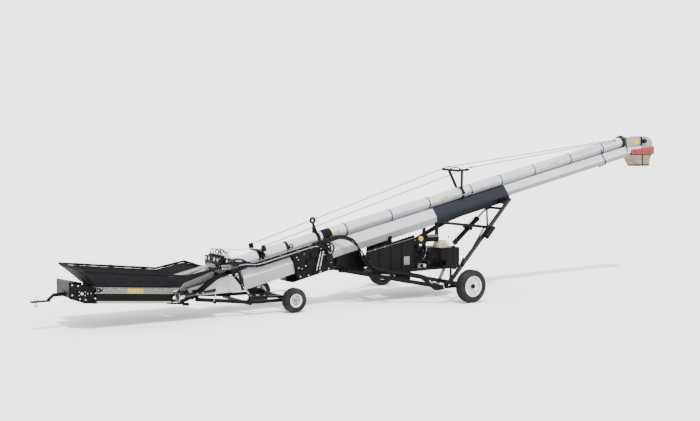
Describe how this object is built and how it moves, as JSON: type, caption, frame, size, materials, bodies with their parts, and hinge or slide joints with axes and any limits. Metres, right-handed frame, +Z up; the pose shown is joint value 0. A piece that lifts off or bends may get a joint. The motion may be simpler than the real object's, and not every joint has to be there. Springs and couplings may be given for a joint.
{
  "type": "grain belt conveyor",
  "caption": "Portable tube belt conveyor for grain: low intake with a fabric hopper, long sloping tube, belt drive, discharge spout, wheeled scissor undercarriage and mover.",
  "frame": {"origin": "middle of the bounding box seen from above, on the ground", "axes": "+X along the machine towards the discharge end, +Y to the left of someone facing that way, +Z up"},
  "size_m": [16.057, 3.506, 3.5688],
  "materials": {
    "white_paint": "gloss paint",
    "grey_paint": "satin paint",
    "pale_guard": "satin paint",
    "slate_paint": "satin paint",
    "black_paint": "satin paint",
    "tan_paint": "satin paint",
    "red_paint": "satin paint",
    "spout_canvas": "woven",
    "hopper_fabric": "coated weave",
    "belt_rubber": "matt",
    "dark_rubber": "matt",
    "tyre": "matt",
    "bright_steel": "zinc plated",
    "grey_iron": "painted",
    "engine_metal": "cast",
    "yellow_plastic": "moulded",
    "cream_plastic": "moulded"
  },
  "bodies": {
    "conveyor": {"conveyor_tube": "white_paint", "tube_bands": "dark_rubber", "tube_clamps": "black_paint", "head_duct": "tan_paint", "discharge_hood": "tan_paint", "spout_collar": "red_paint", "discharge_spout": "spout_canvas", "belt_carry_run": "belt_rubber", "belt_return_run": "belt_rubber", "return_guard_lower": "pale_guard", "return_guard_middle": "pale_guard", "return_guard_upper": "pale_guard", "lift_track": "slate_paint", "s_drive_frame": "black_paint", "drive_motor": "grey_iron", "transition_neck": "grey_paint", "neck_beams": "black_paint", "intake_channel": "grey_paint", "intake_skirt": "black_paint", "tail_box": "black_paint", "hopper_fabric": "hopper_fabric", "hitch_tongue": "black_paint", "truss_tower": "black_paint", "truss_cables": "bright_steel", "engine_platform": "black_paint", "engine_block": "engine_metal", "engine_muffler": "black_paint", "fuel_tank": "black_paint", "air_box": "cream_plastic", "hydraulic_tank": "black_paint", "valve_bank": "black_paint", "hoses": "dark_rubber", "bolts": "bright_steel"},
    "lower_arms": {"lower_frame": "black_paint"},
    "upper_arms": {"upper_frame": "black_paint"},
    "track_carriage": {"track_carriage": "black_paint"},
    "lift_cylinder": {"lift_barrel": "black_paint"},
    "lift_cylinder_rod": {"lift_rod": "bright_steel"},
    "main_wheel_left": {"main_tyre_left": "tyre", "main_rim_left": "white_paint"},
    "main_wheel_right": {"main_tyre_right": "tyre", "main_rim_right": "white_paint"},
    "mover": {"mover_frame": "black_paint"},
    "mover_cylinders": {"mover_barrel": "black_paint"},
    "mover_cylinder_rods": {"mover_rod": "bright_steel"},
    "mover_wheel_left": {"mover_tyre_left": "tyre", "mover_rim_left": "white_paint"},
    "mover_wheel_right": {"mover_tyre_right": "tyre", "mover_rim_right": "white_paint"},
    "drive_roller": {"drive_roller": "belt_rubber"},
    "snub_roller": {"snub_roller": "bright_steel"},
    "head_roller": {"head_roller": "bright_steel"},
    "tail_roller": {"tail_roller": "bright_steel"},
    "hopper_hoop": {"hopper_hoop": "black_paint"},
    "hitch_pin": {"hitch_pin": "bright_steel"},
    "fuel_cap": {"fuel_cap": "yellow_plastic"},
    "valve_lever": {"valve_lever": "bright_steel"},
    "jack_tube": {"jack_tube": "slate_paint"},
    "jack_leg": {"jack_leg": "bright_steel"},
    "jack_crank": {"jack_crank": "bright_steel"}
  },
  "joints": [
    {"name": "lift_lower_arms", "type": "hinge", "parent": "conveyor", "child": "lower_arms", "pos_m": [-1.647, 0, 0.7], "axis": [0, 1, 0], "range_deg": [0, 22]},
    {"name": "lift_upper_arms", "type": "hinge", "parent": "lower_arms", "child": "upper_arms", "pos_m": [0.183, 0, 0.4], "axis": [0, 1, 0], "range_deg": [-34.4, 0.1]},
    {"name": "lift_cylinder_pivot", "type": "hinge", "parent": "upper_arms", "child": "lift_cylinder", "pos_m": [1.993, 0, 1.41], "axis": [0, 1, 0], "range_deg": [-0.1, 15.8]},
    {"name": "lift_rod_slide", "type": "slide", "parent": "lift_cylinder", "child": "lift_cylinder_rod", "axis": [0.7815, 0, 0.6239], "range_m": [-0.001, 0.585]},
    {"name": "track_carriage_slide", "type": "slide", "parent": "conveyor", "child": "track_carriage", "axis": [0.9763, 0, 0.2164], "range_m": [-0.676, 0.001]},
    {"name": "main_wheel_left_spin", "type": "hinge", "parent": "lower_arms", "child": "main_wheel_left", "pos_m": [0.703, 1.65, 0.349], "axis": [0, 1, 0], "continuous": true},
    {"name": "main_wheel_right_spin", "type": "hinge", "parent": "lower_arms", "child": "main_wheel_right", "pos_m": [0.703, -1.65, 0.349], "axis": [0, 1, 0], "continuous": true},
    {"name": "mover_raise", "type": "hinge", "parent": "conveyor", "child": "mover", "pos_m": [-4.997, 0, 0.375], "axis": [0, 1, 0], "range_deg": [-8, 0]},
    {"name": "mover_cylinder_pivot", "type": "hinge", "parent": "conveyor", "child": "mover_cylinders", "pos_m": [-4.287, 0, 0.84], "axis": [0, 1, 0], "range_deg": [-10.4, 0.1]},
    {"name": "mover_rod_slide", "type": "slide", "parent": "mover_cylinders", "child": "mover_cylinder_rods", "axis": [0.6379, 0, -0.7701], "range_m": [-0.1165, 0.001]},
    {"name": "mover_wheel_left_spin", "type": "hinge", "parent": "mover", "child": "mover_wheel_left", "pos_m": [-3.07, 0.743, 0.246], "axis": [0, 1, 0], "continuous": true},
    {"name": "mover_wheel_right_spin", "type": "hinge", "parent": "mover", "child": "mover_wheel_right", "pos_m": [-3.07, -0.743, 0.246], "axis": [0, 1, 0], "continuous": true},
    {"name": "drive_roller_spin", "type": "hinge", "parent": "conveyor", "child": "drive_roller", "pos_m": [-2.0406, 0, 0.97993], "axis": [0, 1, 0], "continuous": true},
    {"name": "snub_roller_spin", "type": "hinge", "parent": "conveyor", "child": "snub_roller", "pos_m": [-2.36596, 0, 1.06144], "axis": [0, 1, 0], "continuous": true},
    {"name": "head_roller_spin", "type": "hinge", "parent": "conveyor", "child": "head_roller", "pos_m": [7.64007, 0, 3.42312], "axis": [0, 1, 0], "continuous": true},
    {"name": "tail_roller_spin", "type": "hinge", "parent": "conveyor", "child": "tail_roller", "pos_m": [-7.22699, 0, 0.65847], "axis": [0, 1, 0], "continuous": true},
    {"name": "hopper_fold", "type": "hinge", "parent": "conveyor", "child": "hopper_hoop", "pos_m": [-4.64, 0, 0.94], "axis": [0, 1, 0], "range_deg": [-5, 0], "stiffness_Nm_per_rad": 2500, "springref_deg": 22.92, "deforming": ["hopper_fabric"]},
    {"name": "hitch_pin_slide", "type": "slide", "parent": "conveyor", "child": "hitch_pin", "axis": [0, 0, 1], "range_m": [0, 0.15]},
    {"name": "fuel_cap_turn", "type": "hinge", "parent": "conveyor", "child": "fuel_cap", "pos_m": [0.183, -0.52, 1.262], "axis": [0, 0, 1], "range_deg": [0, 120]},
    {"name": "valve_lever_tilt", "type": "hinge", "parent": "conveyor", "child": "valve_lever", "pos_m": [-4.357, -0.335, 1.06], "axis": [0, 1, 0], "range_deg": [-25, 25], "stiffness_Nm_per_rad": 25},
    {"name": "jack_swivel", "type": "hinge", "parent": "conveyor", "child": "jack_tube", "pos_m": [-5.012, -0.525, 0.51], "axis": [0, 1, 0], "range_deg": [-85.4, 0]},
    {"name": "jack_crank_turn", "type": "hinge", "parent": "jack_tube", "child": "jack_crank", "pos_m": [-4.716, -0.525, 0.534], "axis": [0, 1, 0], "range_deg": [0, 5730]},
    {"name": "jack_leg_slide", "type": "slide", "parent": "jack_tube", "child": "jack_leg", "axis": [-0.9968, 0, -0.0794], "range_m": [-0.001, 0.2]}
  ],
  "couplings": [
    {"joint": "lift_upper_arms", "follows": "lift_lower_arms", "ratio": -1.5571},
    {"joint": "lift_cylinder_pivot", "follows": "lift_lower_arms", "ratio": 0.70885},
    {"joint": "lift_rod_slide", "follows": "lift_lower_arms", "m_per_rad": 1.5176},
    {"joint": "track_carriage_slide", "follows": "lift_lower_arms", "m_per_rad": -1.7536},
    {"joint": "mover_cylinder_pivot", "follows": "mover_raise", "ratio": 1.2911},
    {"joint": "mover_rod_slide", "follows": "mover_raise", "m_per_rad": 0.83095},
    {"joint": "snub_roller_spin", "follows": "drive_roller_spin", "ratio": -1.4286},
    {"joint": "head_roller_spin", "follows": "drive_roller_spin", "ratio": 1.3333},
    {"joint": "tail_roller_spin", "follows": "drive_roller_spin", "ratio": 1.3889},
    {"joint": "jack_leg_slide", "follows": "jack_crank_turn", "m_per_rad": 0.0019894}
  ]
}
